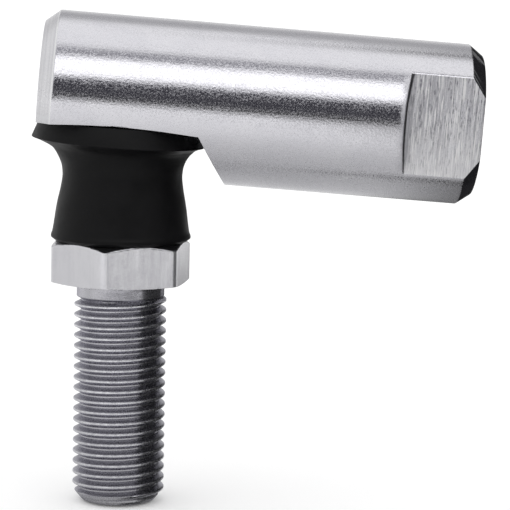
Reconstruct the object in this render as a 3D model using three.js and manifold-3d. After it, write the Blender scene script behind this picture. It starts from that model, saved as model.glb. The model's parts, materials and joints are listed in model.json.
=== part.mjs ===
// Right-angle ball joint (rod end with a threaded stud), millimetres, +Z up.
//
// A steel ball stud stands upright: ball on top, neck, hexagon, threaded shank below.
// A round steel housing sits on the ball, at right angles to the stud, and carries a female
// thread in its long end. Two ball seats, a preload spring and a retaining ring hold the ball
// in the housing. A rubber boot with two clamping rings closes the gap between the housing
// and the stud's hexagon.
//
// Origin: the centre of the stud's end face. The stud's axis is Z. The housing's long end
// points to +X and hangs HOUSING_DROOP below square, turned about the ball's centre.
// Every piece is drawn from the ball's centre. The housing and what is fixed in it are drawn
// square, X along the bar, and turned together at the end.

import * as THREE from "three";
import { mergeVertices } from "three/addons/utils/BufferGeometryUtils.js";
import Module from "manifold-3d";

const wasm = await Module();
wasm.setup();
const { degToRad, smoothstep } = THREE.MathUtils;

// ---------------------------------------------------------------- shared dimensions
const BALL_HEIGHT = 48.6; // ball centre above the stud's end face
const HOUSING_DROOP = 3.75; // degrees, long end below square
const HEX_TOP = -17.16; // the boot ends just above it
const UNDERSIDE = -3.5; // flat milled round the ball's opening
const THREAD_PITCH = 25.4 / 20; // 20 turns to the inch

const SIDES = 32; // facets round a turned surface
const BAR_SIDES = 48;
const SPRING_SIDES = 24;
const THREAD_STEPS = 16; // facets in one turn of the stud's thread
const TAP_STEPS = 12; // facets in one turn of the housing's thread

// ---------------------------------------------------------------- solids and meshes
// A Manifold body from a closed geometry, turned outside out if its faces point inwards.
function solid(geometry) {
  const bare = geometry.index ? geometry.toNonIndexed() : geometry.clone();
  bare.deleteAttribute("normal");
  bare.deleteAttribute("uv");
  const merged = mergeVertices(bare, 1e-4);
  const corners = merged.index.array;
  const faces = [];
  for (let i = 0; i < corners.length; i += 3) {
    const [first, second, third] = corners.slice(i, i + 3);
    const collapsed = first === second || second === third || third === first;
    if (!collapsed) faces.push(first, second, third);
  }
  const build = () =>
    new wasm.Manifold(
      new wasm.Mesh({
        numProp: 3,
        vertProperties: new Float32Array(merged.attributes.position.array),
        triVerts: new Uint32Array(faces),
      }),
    );
  const body = build();
  if (body.volume() >= 0) return body;
  for (let i = 0; i < faces.length; i += 3) {
    [faces[i + 1], faces[i + 2]] = [faces[i + 2], faces[i + 1]];
  }
  return build();
}

// A flat-shaded geometry from a Manifold body.
function geometryOf(body) {
  const mesh = body.getMesh();
  const geometry = new THREE.BufferGeometry();
  geometry.setAttribute("position", new THREE.BufferAttribute(mesh.vertProperties, 3));
  geometry.setIndex(new THREE.BufferAttribute(mesh.triVerts, 1));
  const flat = geometry.toNonIndexed();
  flat.computeVertexNormals();
  return flat;
}

// ---------------------------------------------------------------- shape helpers
const vectors = (points) => points.map(([x, y]) => new THREE.Vector2(x, y));
const closed = (points) => [...points, points[0]];

// A geometry turned about Z from [radius, height] points.
function turned(points, sides = SIDES) {
  return new THREE.LatheGeometry(vectors(points), sides).rotateX(Math.PI / 2);
}

const turnedSolid = (points, sides) => solid(turned(points, sides));

// The [radius, height] corners of a square-section ring.
function ringSection(innerR, outerR, bottom, top) {
  return closed([
    [innerR, top],
    [innerR, bottom],
    [outerR, bottom],
    [outerR, top],
  ]);
}

// [radius, height] points on a sphere's outline, from one height to another.
function arc(radius, fromZ, toZ, steps) {
  const start = Math.asin(fromZ / radius);
  const end = Math.asin(toZ / radius);
  return Array.from({ length: steps + 1 }, (_, i) => {
    const latitude = start + ((end - start) * i) / steps;
    return [radius * Math.cos(latitude), radius * Math.sin(latitude)];
  });
}

// Z becomes X.
const alongX = (geometry) => geometry.rotateY(Math.PI / 2);

// A solid from an [x, z] outline, reaching across the whole bar in Y.
function acrossBar(points) {
  const width = 24;
  const geometry = new THREE.ExtrudeGeometry(new THREE.Shape(vectors(points)), {
    depth: width,
    steps: 1,
    bevelEnabled: false,
  });
  return solid(geometry.rotateX(Math.PI / 2).translate(0, width / 2, 0));
}

// A right-hand screw ridge round Z: a trapezoid section extruded straight, then wound up.
// fadeLow and fadeHigh are the turns over which each end grows to full height.
function screwRidge({
  rootR, crestR, rootWidth, crestWidth, bottom, turns, stepsPerTurn, fadeLow, fadeHigh,
}) {
  const sunk = 0.15; // how far the section's base lies inside the core
  const endTurn = 0.02; // keeps the faded ends from shrinking to nothing
  const baseR = rootR - sunk;
  const flankSlope = (rootWidth - crestWidth) / 2 / (crestR - rootR);
  const halfBase = rootWidth / 2 + sunk * flankSlope;
  const section = new THREE.Shape(
    vectors([
      [baseR, -halfBase],
      [crestR, -crestWidth / 2],
      [crestR, crestWidth / 2],
      [baseR, halfBase],
    ]),
  );
  const geometry = new THREE.ExtrudeGeometry(section, {
    depth: turns,
    steps: Math.round(turns * stepsPerTurn),
    bevelEnabled: false,
  });
  const position = geometry.attributes.position;
  for (let i = 0; i < position.count; i++) {
    const turn = position.getZ(i);
    const fade = Math.min(1, (turn + endTurn) / fadeLow, (turns - turn + endTurn) / fadeHigh);
    const radius = baseR + (position.getX(i) - baseR) * fade;
    const angle = 2 * Math.PI * turn;
    position.setXYZ(
      i,
      radius * Math.cos(angle),
      radius * Math.sin(angle),
      bottom + THREAD_PITCH * turn - position.getY(i),
    );
  }
  return solid(geometry);
}

// ---------------------------------------------------------------- ball stud
const BALL_R = 6.35;
const BALL_TOP_FLAT = 6.05;
const BALL_ARC_END = -5.3; // where the ball runs into the neck
const NECK_R = 3.3;
const COLLAR_R = 6.15; // the boot's lower lip sits round it
const COLLAR_TOP = -14.75;
const HEX_BOTTOM = -22.12;
const HEX_INNER_R = 15.0 / 2; // half the width across flats
const HEX_CORNER_R = (2 * HEX_INNER_R) / Math.sqrt(3);
const HEX_CORNER_ANGLE = -161.5; // degrees about Z, one corner
const HEX_CHAMFER_DROP = 0.56;
const HEX_LOWER_CHAMFER_DROP = 0.16;
const HEX_OVERLAP = 0.5; // how far the collar runs into the hexagon
const SHANK_NECK_R = 5.23; // plain neck under the hexagon
const THREAD_MAJOR_R = 5.51;
const THREAD_MINOR_R = 4.76;
const THREAD_TOP = -24.0;
const STUD_END = -BALL_HEIGHT;
const STUD_TIP_R = 4.15;
const CORE_TIP_CHAMFER = 0.75;
const THREAD_TRIM_R = THREAD_MAJOR_R + 0.4; // wide end of the cone that trims the thread's tip
const THREAD_TRIM_HEIGHT = 1.95;

function ballAndNeck() {
  return turnedSolid([
    [0, BALL_TOP_FLAT],
    ...arc(BALL_R, BALL_TOP_FLAT, BALL_ARC_END, 13),
    [NECK_R + 0.05, -5.75],
    [NECK_R, -6.4],
    [NECK_R, -10.2],
    [NECK_R + 0.35, -11.4],
    [4.5, -12.7],
    [5.7, -14.1],
    [COLLAR_R, COLLAR_TOP],
    [COLLAR_R, HEX_TOP - HEX_OVERLAP],
    [0, HEX_TOP - HEX_OVERLAP],
  ]);
}

function hexagon() {
  const prism = new THREE.CylinderGeometry(
    HEX_CORNER_R,
    HEX_CORNER_R,
    HEX_TOP - HEX_BOTTOM,
    6,
    1,
  )
    .rotateX(Math.PI / 2)
    .rotateZ(degToRad(HEX_CORNER_ANGLE - 90))
    .translate(0, 0, (HEX_TOP + HEX_BOTTOM) / 2);
  const faceR = HEX_INNER_R + 0.02;
  const outerR = HEX_CORNER_R + 0.05;
  const chamfers = turnedSolid([
    [0, HEX_TOP],
    [faceR, HEX_TOP],
    [outerR, HEX_TOP - HEX_CHAMFER_DROP],
    [outerR, HEX_BOTTOM + HEX_LOWER_CHAMFER_DROP],
    [faceR, HEX_BOTTOM],
    [0, HEX_BOTTOM],
  ]);
  return solid(prism).intersect(chamfers);
}

function shankCore() {
  const top = HEX_BOTTOM + 1; // inside the hexagon
  return turnedSolid(
    [
      [0, top],
      [SHANK_NECK_R, top],
      [SHANK_NECK_R, THREAD_TOP - 0.05],
      [THREAD_MINOR_R, THREAD_TOP - 0.55],
      [THREAD_MINOR_R, STUD_END + CORE_TIP_CHAMFER],
      [STUD_TIP_R, STUD_END],
      [0, STUD_END],
    ],
    THREAD_STEPS,
  );
}

// The ridge starts below the stud's end, and a chamfered envelope trims it.
function shankThread() {
  const unthreaded = 1.6; // length left out when whole turns are counted
  const wholeTurns = Math.floor((HEX_BOTTOM - STUD_END - unthreaded) / THREAD_PITCH + 1);
  const ridge = screwRidge({
    rootR: THREAD_MINOR_R,
    crestR: THREAD_MAJOR_R,
    rootWidth: 0.9,
    crestWidth: 0.16,
    bottom: STUD_END - 0.55,
    turns: wholeTurns + 0.1,
    stepsPerTurn: THREAD_STEPS,
    fadeLow: 0.05,
    fadeHigh: 0.9,
  });
  const envelope = turnedSolid(
    [
      [0, HEX_BOTTOM],
      [THREAD_TRIM_R, HEX_BOTTOM],
      [THREAD_TRIM_R, STUD_END + THREAD_TRIM_HEIGHT],
      [STUD_TIP_R, STUD_END],
      [0, STUD_END],
    ],
    THREAD_STEPS * 2,
  );
  return ridge.intersect(envelope);
}

function ballStud() {
  return geometryOf(ballAndNeck().add(hexagon()).add(shankCore()).add(shankThread()));
}

// ---------------------------------------------------------------- housing
const BAR_R = 9.525;
const BAR_LONG_END = 42.0;
const BAR_SHORT_END = -9.75;
const LONG_CHAMFER = 1.65;
const LONG_FACE_R = 8.32;
const SHORT_CHAMFER = 1.75;
const SHORT_FACE_R = 8.11;
const SHOULDER_START = 9.04; // where the milled flat ends
const SHOULDER_RUN = 0.632; // travel along the bar for each mm of depth
const CUTTER_REACH = 8; // how far the cutters go below the underside
const WRENCH_HALF_WIDTH = 7.5;
const WRENCH_START = 33.15;

// the socket, square to the bar
const BORE_R = 7.5;
const GROOVE_R = 7.95;
const GROOVE_TOP = -2.42;
const GROOVE_BOTTOM = -3.08;
const ROOF = 7.3;

// a shallow recess in the milled flat, above the boot's rim
const DISH_INNER_R = 8.1;
const DISH_DEPTH = 0.45;
const DISH_SLOPE_START_R = DISH_INNER_R + 0.9;
const DISH_OUTER_R = 12.9;
const RIM_CLEARANCE_R = 10.95; // relief in the shoulder's foot lets the rim turn past it

// the tapped hole, depths from the long end's face
const TAPPED_MINOR_R = 4.92;
const TAPPED_MAJOR_R = 5.58;
const TAPPED_DEPTH = 18.5;
const DRILL_DEPTH = 22.5;
const DRILL_POINT = 2.9;
const COUNTERSINK_R = 5.85;

function bar() {
  const profile = [
    [0, BAR_LONG_END],
    [LONG_FACE_R, BAR_LONG_END],
    [BAR_R, BAR_LONG_END - LONG_CHAMFER],
    [BAR_R, BAR_SHORT_END + SHORT_CHAMFER],
    [SHORT_FACE_R, BAR_SHORT_END],
    [0, BAR_SHORT_END],
  ];
  return solid(alongX(turned(profile, BAR_SIDES)));
}

// The sloping shoulder's place along the bar, at a depth below the underside.
const shoulderX = (depth) => SHOULDER_START + SHOULDER_RUN * depth;

function undersideCutter() {
  const startX = BAR_SHORT_END - 3;
  const bottom = UNDERSIDE - CUTTER_REACH;
  return acrossBar([
    [startX, UNDERSIDE],
    [shoulderX(0), UNDERSIDE],
    [shoulderX(CUTTER_REACH), bottom],
    [startX, bottom],
  ]);
}

// Everything on the long end's side of the shoulder's slope, carried on above the underside.
function shoulderSide() {
  const rise = 2;
  const endX = SHOULDER_START + 14;
  const bottom = UNDERSIDE - CUTTER_REACH;
  return acrossBar([
    [shoulderX(-rise), UNDERSIDE + rise],
    [shoulderX(CUTTER_REACH), bottom],
    [endX, bottom],
    [endX, UNDERSIDE + rise],
  ]);
}

// side is 1 for the +Y flat, -1 for the -Y flat
function wrenchCutter(side) {
  const length = 12;
  const thickness = 4;
  return solid(
    new THREE.BoxGeometry(length, thickness, 24).translate(
      WRENCH_START + length / 2,
      side * (WRENCH_HALF_WIDTH + thickness / 2),
      0,
    ),
  );
}

function socketCutter() {
  return turnedSolid([
    [0, ROOF],
    [3.3, ROOF],
    [5.1, 5.95],
    [6.65, 4.0],
    [BORE_R, 1.1],
    [BORE_R, GROOVE_TOP],
    [GROOVE_R, GROOVE_TOP],
    [GROOVE_R, GROOVE_BOTTOM],
    [BORE_R, GROOVE_BOTTOM],
    [BORE_R, UNDERSIDE + 0.25],
    [BORE_R + 0.45, UNDERSIDE - 0.2],
    [0, UNDERSIDE - 0.2],
  ]);
}

// The dish's sloping roof, cut out to outerR and down to drop below the underside.
function dishCutter(outerR, drop) {
  const slope = DISH_DEPTH / (DISH_OUTER_R - DISH_SLOPE_START_R);
  const slopeZ = (radius) =>
    UNDERSIDE + DISH_DEPTH - 0.02 - (radius - DISH_SLOPE_START_R) * slope;
  return turnedSolid(
    closed([
      [DISH_INNER_R, UNDERSIDE - drop],
      [DISH_INNER_R, UNDERSIDE + 0.03],
      [DISH_INNER_R + 0.45, UNDERSIDE + DISH_DEPTH],
      [DISH_SLOPE_START_R, slopeZ(DISH_SLOPE_START_R)],
      [outerR, slopeZ(outerR)],
      [outerR, UNDERSIDE - drop],
    ]),
  );
}

// Drawn along Z with the bar's end face at 0, cut off just above it, then laid along the bar.
function tappedHole() {
  const overshoot = 0.3;
  const drill = turnedSolid(
    [
      [0, -DRILL_DEPTH - DRILL_POINT],
      [TAPPED_MINOR_R, -DRILL_DEPTH],
      [TAPPED_MINOR_R, TAPPED_MINOR_R - COUNTERSINK_R],
      [COUNTERSINK_R + overshoot, overshoot],
      [0, overshoot],
    ],
    TAP_STEPS,
  );
  const turns = Math.round(TAPPED_DEPTH / THREAD_PITCH);
  const tap = screwRidge({
    rootR: TAPPED_MINOR_R,
    crestR: TAPPED_MAJOR_R,
    rootWidth: 0.95,
    crestWidth: 0.2,
    bottom: -turns * THREAD_PITCH + 0.6,
    turns,
    stepsPerTurn: TAP_STEPS,
    fadeLow: 0.8,
    fadeHigh: 0.05,
  });
  const trimHeight = 10;
  const trim = new THREE.BoxGeometry(30, 30, trimHeight).translate(0, 0, trimHeight / 2 + 0.25);
  const hole = drill.add(tap).subtract(solid(trim));
  return solid(alongX(geometryOf(hole)).translate(BAR_LONG_END, 0, 0));
}

function socketHousing() {
  const cutters = [
    undersideCutter(),
    wrenchCutter(1),
    wrenchCutter(-1),
    socketCutter(),
    dishCutter(DISH_OUTER_R, 1).subtract(shoulderSide()),
    dishCutter(RIM_CLEARANCE_R, 4),
    tappedHole(),
  ];
  return geometryOf(cutters.reduce((body, cutter) => body.subtract(cutter), bar()));
}

// ---------------------------------------------------------------- seats, spring and rings
const SEAT_R = 7.42;
const SEAT_BALL_R = 6.45;
const SEAT_SPLIT = 0.06; // each seat's distance from the ball's mid-height
const UPPER_SEAT_ARC_TOP = 6.13;
const UPPER_SEAT_TOP = 6.82;
const LOWER_SEAT_BOTTOM = -2.38;
const RETAINER_INNER_R = 6.35;
const RETAINER_OUTER_R = 7.85;
const RETAINER_BOTTOM = -3.0;
const RETAINER_THICKNESS = 0.5;
const RETAINER_GAP = 26; // degrees, centred on +X

function upperSeat() {
  const profile = closed([
    ...arc(SEAT_BALL_R, SEAT_SPLIT, UPPER_SEAT_ARC_TOP, 7),
    [2.0, UPPER_SEAT_TOP],
    [3.15, UPPER_SEAT_TOP],
    [4.95, 5.82],
    [6.5, 3.9],
    [SEAT_R, 1.05],
    [SEAT_R, SEAT_SPLIT],
  ]);
  return geometryOf(turnedSolid(profile));
}

function lowerSeat() {
  const profile = closed([
    ...arc(SEAT_BALL_R, -SEAT_SPLIT, LOWER_SEAT_BOTTOM, 4),
    [SEAT_R, LOWER_SEAT_BOTTOM],
    [SEAT_R, -SEAT_SPLIT],
  ]);
  return geometryOf(turnedSolid(profile));
}

// A thin coned washer, its inner edge higher.
function preloadSpring() {
  const profile = closed([
    [1.35, 7.24],
    [1.35, 7.04],
    [3.0, 6.86],
    [3.0, 7.06],
  ]);
  return geometryOf(turnedSolid(profile, SPRING_SIDES));
}

function retainingRing() {
  const start = degToRad(RETAINER_GAP / 2);
  const end = 2 * Math.PI - start;
  const outline = new THREE.Shape();
  outline.absarc(0, 0, RETAINER_OUTER_R, start, end, false);
  outline.absarc(0, 0, RETAINER_INNER_R, end, start, true);
  return new THREE.ExtrudeGeometry(outline, {
    depth: RETAINER_THICKNESS,
    steps: 1,
    curveSegments: Math.round((SIDES * (360 - RETAINER_GAP)) / 360),
    bevelEnabled: false,
  }).translate(0, 0, RETAINER_BOTTOM);
}

const bootUpperRing = () => geometryOf(turnedSolid(ringSection(6.75, 7.5, -5.4, -4.35)));
const bootLowerRing = () => geometryOf(turnedSolid(ringSection(6.32, 6.92, -16.2, -15.2)));

// ---------------------------------------------------------------- boot
// the height band over which it turns from the stud's direction to the housing's
const BOOT_BEND_LOW = -8.2;
const BOOT_BEND_HIGH = -5.6;
const BOOT_TOP = -3.13;
const BOOT_BOTTOM = HEX_TOP + 0.06;

// [radius, height]: the top and rim, down the outside, then up the inside
const BOOT_PROFILE = closed([
  [7.3, BOOT_TOP], [7.3, UNDERSIDE - 0.06], [8.2, UNDERSIDE - 0.04],
  [8.62, UNDERSIDE + 0.33], [9.1, UNDERSIDE + 0.3],
  // outside
  [10.08, -5.42], [9.6, -5.62], [9.1, -5.86], [8.62, -6.14], [8.2, -6.52],
  [7.83, -7.0], [7.5, -7.65], [7.26, -8.3], [7.14, -9.2], [7.17, -10.1],
  [7.37, -11.3], [7.62, -12.5], [7.82, -13.7], [8.0, -14.9], [8.17, -16.1],
  [8.31, -16.6], [8.26, -16.8], [7.85, BOOT_BOTTOM], [6.25, BOOT_BOTTOM],
  // groove for the lower ring
  [6.25, -16.3], [6.98, -16.3], [6.98, -15.1], [6.25, -15.1],
  // inside
  [6.35, -14.5], [6.75, -13.8], [6.25, -11.4], [6.0, -9.6], [6.2, -8.3], [6.7, -7.2],
  // groove for the upper ring
  [6.7, -5.45], [7.56, -5.45], [7.56, -4.3], [6.7, -4.3],
  [6.7, BOOT_TOP],
]);

function dustBoot() {
  const geometry = turned(BOOT_PROFILE);
  const position = geometry.attributes.position;
  for (let i = 0; i < position.count; i++) {
    const x = position.getX(i);
    const z = position.getZ(i);
    const angle = degToRad(HOUSING_DROOP) * smoothstep(z, BOOT_BEND_LOW, BOOT_BEND_HIGH);
    position.setX(i, x * Math.cos(angle) + z * Math.sin(angle));
    position.setZ(i, z * Math.cos(angle) - x * Math.sin(angle));
  }
  return geometryOf(solid(geometry));
}

// ---------------------------------------------------------------- materials
const finish = {
  housing: { color: 0xb9bdc1, roughness: 0.34, metalness: 1 },
  stud: { color: 0xa9aeb3, roughness: 0.36, metalness: 1 },
  seat: { color: 0x8d8f91, roughness: 0.3, metalness: 1 },
  spring: { color: 0x77736c, roughness: 0.4, metalness: 1 },
  ring: { color: 0x55585a, roughness: 0.45, metalness: 1 },
  rubber: { color: 0x17181a, roughness: 0.62, metalness: 0 },
};

// ---------------------------------------------------------------- scene graph
function part(name, geometry, look) {
  const mesh = new THREE.Mesh(geometry, new THREE.MeshStandardMaterial(look));
  mesh.name = name;
  return mesh;
}

const group = new THREE.Group();
const aboutBall = new THREE.Group();
aboutBall.position.z = BALL_HEIGHT;
group.add(aboutBall);
aboutBall.add(
  part("ball_stud", ballStud(), finish.stud),
  part("dust_boot", dustBoot(), finish.rubber),
  part("boot_lower_ring", bootLowerRing(), finish.ring),
);

const tilted = new THREE.Group();
tilted.rotation.y = degToRad(HOUSING_DROOP);
aboutBall.add(tilted);
tilted.add(
  part("socket_housing", socketHousing(), finish.housing),
  part("upper_ball_seat", upperSeat(), finish.seat),
  part("lower_ball_seat", lowerSeat(), finish.seat),
  part("preload_spring", preloadSpring(), finish.spring),
  part("retaining_ring", retainingRing(), finish.ring),
  part("boot_upper_ring", bootUpperRing(), finish.ring),
);

export default group;
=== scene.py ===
"""A right-angle ball joint rod end. The bar lies nearly along X, with the ball socket near its -X end and a tapped
hole in its +X end, and leans a little about Y. The ball stud and its rubber boot hang below it, down -Z. The camera
looks along +Y, so the front is -Y.

Lengths in the shape code are millimetres from the ball's centre; add_piece() turns them into metres in the row
frame. Stud coordinates are x, y, z. Housing coordinates are along the bar, across it (y) and up, square to it.
Profiles are lists of (radius, z)."""
import json
import math

import bmesh
import bpy
import numpy as np
from mathutils import Matrix, Vector


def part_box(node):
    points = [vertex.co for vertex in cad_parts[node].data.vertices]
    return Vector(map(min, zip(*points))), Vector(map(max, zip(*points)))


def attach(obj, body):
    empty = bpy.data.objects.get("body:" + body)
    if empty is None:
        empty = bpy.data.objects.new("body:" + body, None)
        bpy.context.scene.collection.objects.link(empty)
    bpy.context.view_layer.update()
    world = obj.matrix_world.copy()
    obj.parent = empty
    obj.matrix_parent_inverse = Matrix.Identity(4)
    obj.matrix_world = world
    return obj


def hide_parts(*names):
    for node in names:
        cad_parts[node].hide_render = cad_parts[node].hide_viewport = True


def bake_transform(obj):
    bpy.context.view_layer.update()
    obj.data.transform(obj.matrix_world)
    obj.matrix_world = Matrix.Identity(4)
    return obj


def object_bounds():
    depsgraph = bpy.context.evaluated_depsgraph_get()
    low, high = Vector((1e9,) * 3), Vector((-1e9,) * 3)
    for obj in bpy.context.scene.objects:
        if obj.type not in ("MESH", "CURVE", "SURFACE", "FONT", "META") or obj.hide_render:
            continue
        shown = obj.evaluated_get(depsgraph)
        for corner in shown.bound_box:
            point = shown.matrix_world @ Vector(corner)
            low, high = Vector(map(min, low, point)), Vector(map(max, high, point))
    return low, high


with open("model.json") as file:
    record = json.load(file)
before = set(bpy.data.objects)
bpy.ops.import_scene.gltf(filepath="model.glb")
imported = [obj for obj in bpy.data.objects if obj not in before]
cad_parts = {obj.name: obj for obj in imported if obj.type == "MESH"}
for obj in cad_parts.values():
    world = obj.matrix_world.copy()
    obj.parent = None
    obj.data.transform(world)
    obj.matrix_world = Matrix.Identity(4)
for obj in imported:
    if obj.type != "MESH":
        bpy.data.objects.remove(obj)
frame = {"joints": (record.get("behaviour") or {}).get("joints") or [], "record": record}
CAD_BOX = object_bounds()

# ------------------------------------------------------------------ what the frame says
JOINTS = {j["name"]: j for j in frame["joints"]}
MOUNTS = {m["name"]: m for m in frame["record"]["mounts"]}
CENTRE = np.array(JOINTS["tilt"]["pos_m"], float) * 1000.0
UP = np.array(JOINTS["swivel_in_housing"]["axis"], float)
UP /= np.linalg.norm(UP)
ALONG = np.array([UP[2], 0.0, -UP[0]])
DROOP = math.atan2(UP[0], UP[2])
LONG_END = float((np.array(MOUNTS["socket_end"]["pos_m"]) * 1000.0 - CENTRE) @ ALONG)
TIP = float(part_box("ball_stud")[0].z * 1000.0 - CENTRE[2])
HEX_LOW = float(MOUNTS["stud_shoulder"]["pos_m"][2] * 1000.0 - CENTRE[2]) - 0.05

# ------------------------------------------------------------------ shared dimensions, millimetres
BAR_R = 9.525
SHORT_END = -9.75
UNDER = -3.5  # height of the flat underside round the stud
SHOULDER_S, SHOULDER_K = 9.04, 0.632  # where the underside's slope starts, and its run along the bar per mm down
WRENCH_HALF, WRENCH_S = 7.5, 33.15  # half the distance over the wrench flats, and their inner end
FLAT_HALF_HEIGHT = 5.87  # half the height of a wrench flat
WALL_BOW, WALL_DRAFT = 0.24, 0.18  # the wall at that end: bow towards the ball, and lean per mm of depth
PITCH = 1.27
SCREW_ROWS = 16  # mesh rows per pitch
THREAD_R, ROOT_R, BLANK_R, TIP_R = 5.51, 4.73, 5.23, 4.36
HEX_HIGH = -17.16
HEX_AF = 15.19
HEX_CORNER = math.radians(-161.8)
BALL_R = 6.35
SEAT_R = BALL_R + 0.07


def shoulder_at(z):
    """Place along the bar where the shoulder's slope is at height z."""
    return SHOULDER_S + (UNDER - z) * SHOULDER_K


SHOULDER_END = shoulder_at(-BAR_R)  # where the shoulder reaches the round bar


# ------------------------------------------------------------------ geometry helpers
def soft_min(values, softness):
    """Smooth minimum of arrays; softness is in millimetres."""
    stack = np.array(np.broadcast_arrays(*values), float)
    low = stack.min(0)
    return low - softness * np.log(np.exp(-(stack - low) / softness).sum(0))


def ease(t):
    """Smooth step from 0 to 1."""
    t = np.clip(t, 0, 1)
    return t * t * (3 - 2 * t)


def rounded(points, radii, steps=4, loop=False):
    """A polyline with its corners filleted; radii is one number or one per point."""
    pts = [np.array(q, float) for q in points]
    count = len(pts)
    out = []
    for i in range(count):
        radius = radii[i] if isinstance(radii, (list, tuple)) else radii
        if (not loop and i in (0, count - 1)) or radius <= 0:
            out.append(pts[i])
            continue
        corner = pts[i]
        back, ahead = pts[i - 1] - corner, pts[(i + 1) % count] - corner
        back_len, ahead_len = np.linalg.norm(back), np.linalg.norm(ahead)
        back, ahead = back / back_len, ahead / ahead_len
        half = math.acos(max(-1, min(1, float(back @ ahead)))) / 2
        if half > math.radians(89.0):
            out.append(corner)
            continue
        trim = min(radius / math.tan(half), 0.45 * back_len, 0.45 * ahead_len)
        fillet = trim * math.tan(half)
        bisector = (back + ahead) / np.linalg.norm(back + ahead)
        centre = corner + bisector * (fillet / math.sin(half))
        start, end = corner + back * trim - centre, corner + ahead * trim - centre
        total = math.acos(max(-1, min(1, float(start @ end) / (fillet * fillet))))
        for j in range(steps + 1):
            t = j / steps
            spoke = (math.sin((1 - t) * total) * start + math.sin(t * total) * end) / math.sin(total)
            out.append(centre + spoke)
    return out


def smooth_curve(points, per):
    """Catmull-Rom through the points, with per steps between neighbours."""
    pts = [np.array(q, float) for q in points]
    pts = [2 * pts[0] - pts[1]] + pts + [2 * pts[-1] - pts[-2]]
    out = []
    for i in range(1, len(pts) - 2):
        before, here, after, beyond = pts[i - 1:i + 3]
        for j in range(per):
            t = j / per
            out.append(
                0.5 * (2 * here + (after - before) * t
                       + (2 * before - 5 * here + 4 * after - beyond) * t * t
                       + (3 * here - before - 3 * after + beyond) * t ** 3))
    out.append(pts[-2])
    return out


def band_faces(lower, upper, cols):
    """Quads between two closed rings, given each ring's first vertex."""
    return [(lower + j, lower + (j + 1) % cols, upper + (j + 1) % cols, upper + j) for j in range(cols)]


def grid_faces(rows, cols, close_rows=False):
    faces = []
    for i in range(rows if close_rows else rows - 1):
        faces += band_faces(i * cols, ((i + 1) % rows) * cols, cols)
    return faces


def fan_faces(tip, ring, cols, flip=False):
    """Triangles from a closed ring to one vertex."""
    if flip:
        return [(tip, ring + (j + 1) % cols, ring + j) for j in range(cols)]
    return [(ring + j, ring + (j + 1) % cols, tip) for j in range(cols)]


def mesh_from(name, verts, faces, slots=None, merge=0.0):
    me = bpy.data.meshes.new(name)
    me.from_pydata([tuple(map(float, v)) for v in verts], [], [tuple(map(int, f)) for f in faces])
    if slots is not None:
        me.polygons.foreach_set("material_index", np.array(slots, np.int32))
    bm = bmesh.new()
    bm.from_mesh(me)
    if merge:
        bmesh.ops.remove_doubles(bm, verts=bm.verts, dist=merge)
    bmesh.ops.recalc_face_normals(bm, faces=bm.faces)
    if bm.calc_volume(signed=True) < 0:
        bmesh.ops.reverse_faces(bm, faces=bm.faces)
    bm.to_mesh(me)
    bm.free()
    return me


def lathe(name, profile, cols=128, loop=True, merge=1e-5, from_deg=0.0, sweep_deg=360.0):
    """A turned body about Z. An open profile starts and ends on the axis. Less than a full turn gives a split ring
    with flat ends."""
    pts = np.array(profile, float)
    rows = len(pts)
    full = abs(sweep_deg - 360.0) < 1e-6
    n = cols if full else cols + 1
    ang = math.radians(from_deg) + np.arange(n) * math.radians(sweep_deg) / cols
    verts = np.stack([
        pts[:, None, 0] * np.cos(ang), pts[:, None, 0] * np.sin(ang),
        np.broadcast_to(pts[:, None, 1], (rows, n))], -1).reshape(-1, 3)
    if full:
        faces = grid_faces(rows, n, close_rows=loop)
    else:
        faces = []
        for i in range(rows):
            a, b = i * n, ((i + 1) % rows) * n
            faces += [(a + j, a + j + 1, b + j + 1, b + j) for j in range(n - 1)]
        faces.append([i * n for i in range(rows)])
        faces.append([i * n + n - 1 for i in range(rows)][::-1])
    return mesh_from(name, verts, faces, merge=merge)


def to_object(name, data):
    ob = bpy.data.objects.new(name, data)
    bpy.context.scene.collection.objects.link(ob)
    return ob


def cut(base, *cutters):
    """Subtracts the cutter meshes from the base mesh and returns the new mesh."""
    ob = to_object("cut_base", base)
    tools = []
    for i, cutter in enumerate(cutters):
        tool = to_object(f"cut_tool_{i}", cutter)
        tools.append(tool)
        for material in cutter.materials:
            if material and material.name not in [x.name for x in base.materials if x]:
                base.materials.append(material)
        mod = ob.modifiers.new(f"cut{i}", "BOOLEAN")
        mod.operation, mod.solver, mod.object = "DIFFERENCE", "EXACT", tool
        mod.material_mode = "TRANSFER"
    bpy.context.view_layer.update()
    graph = bpy.context.evaluated_depsgraph_get()
    me = bpy.data.meshes.new_from_object(ob.evaluated_get(graph), preserve_all_data_layers=True,
                                         depsgraph=graph)
    for used in [ob] + tools:
        bpy.data.objects.remove(used)
    return me


def housing_frame(v):
    """Housing coordinates to millimetres from the ball's centre."""
    v = np.asarray(v, float)
    return np.outer(v[:, 0], ALONG) + np.outer(v[:, 1], [0, 1, 0]) + np.outer(v[:, 2], UP)


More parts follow.
